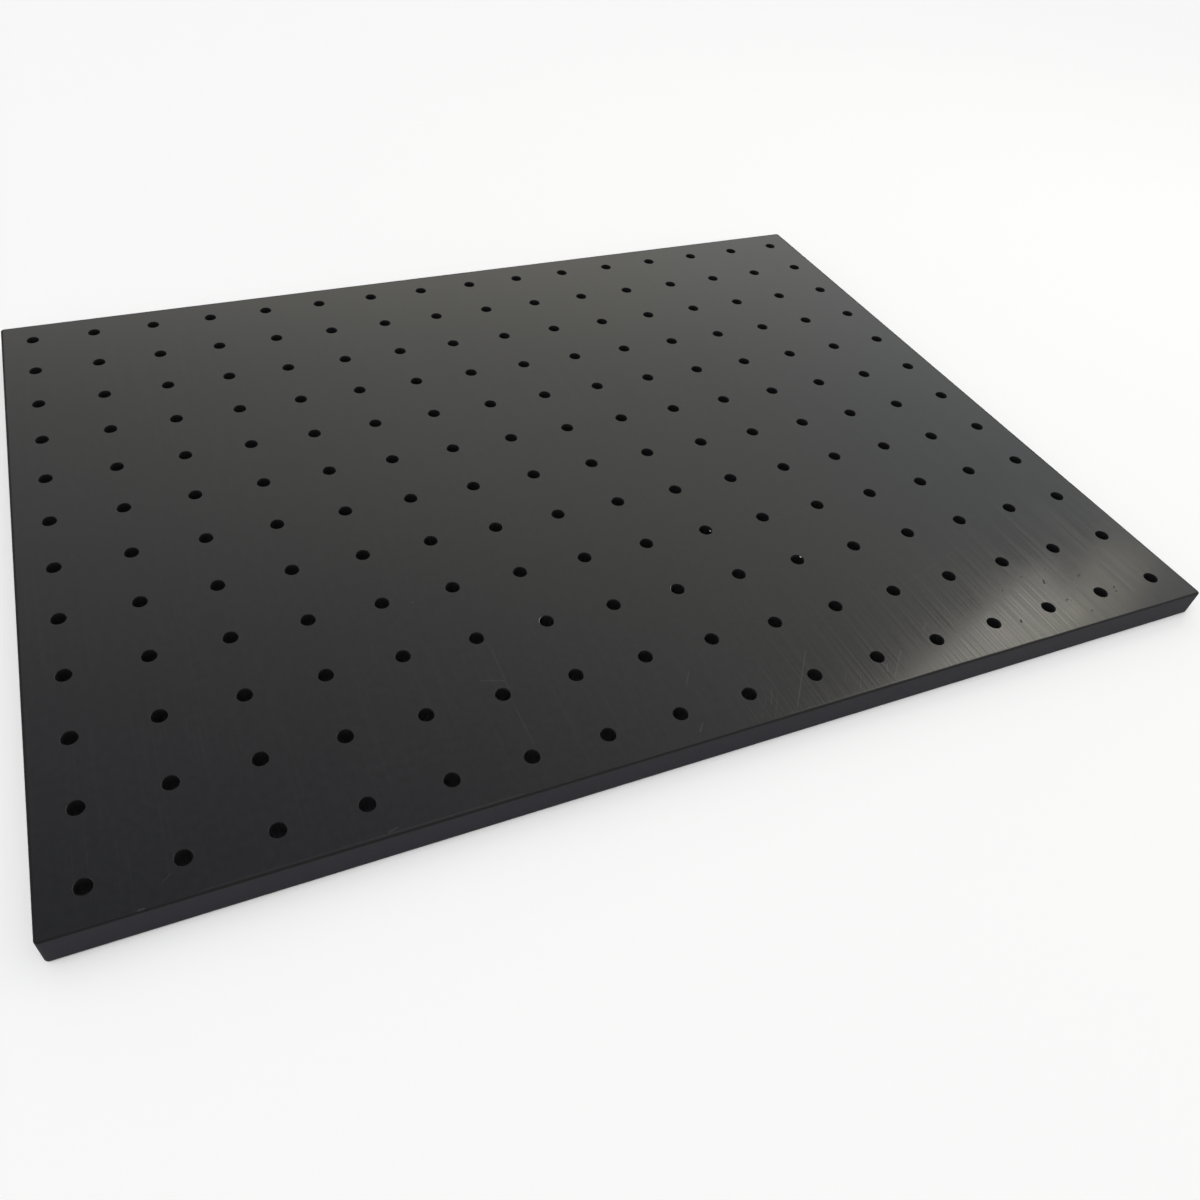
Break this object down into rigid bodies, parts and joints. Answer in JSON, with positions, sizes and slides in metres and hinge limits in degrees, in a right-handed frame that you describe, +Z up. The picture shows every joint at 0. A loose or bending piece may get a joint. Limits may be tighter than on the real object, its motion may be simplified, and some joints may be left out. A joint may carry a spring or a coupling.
{
  "type": "perforated board",
  "caption": "Flat rectangular black polyethylene board, drilled right through on a square grid of plain round holes, for decks, work platforms, shelves and fixture bases.",
  "frame": {"origin": "centre of the underside", "axes": "+X along the long side, +Y along the short side from front to back, +Z up"},
  "size_m": [0.8, 0.6, 0.02],
  "materials": {
    "black_polyethylene": "satin, planed"
  },
  "bodies": {
    "root": {"perforated_board": "black_polyethylene"}
  },
  "joints": []
}
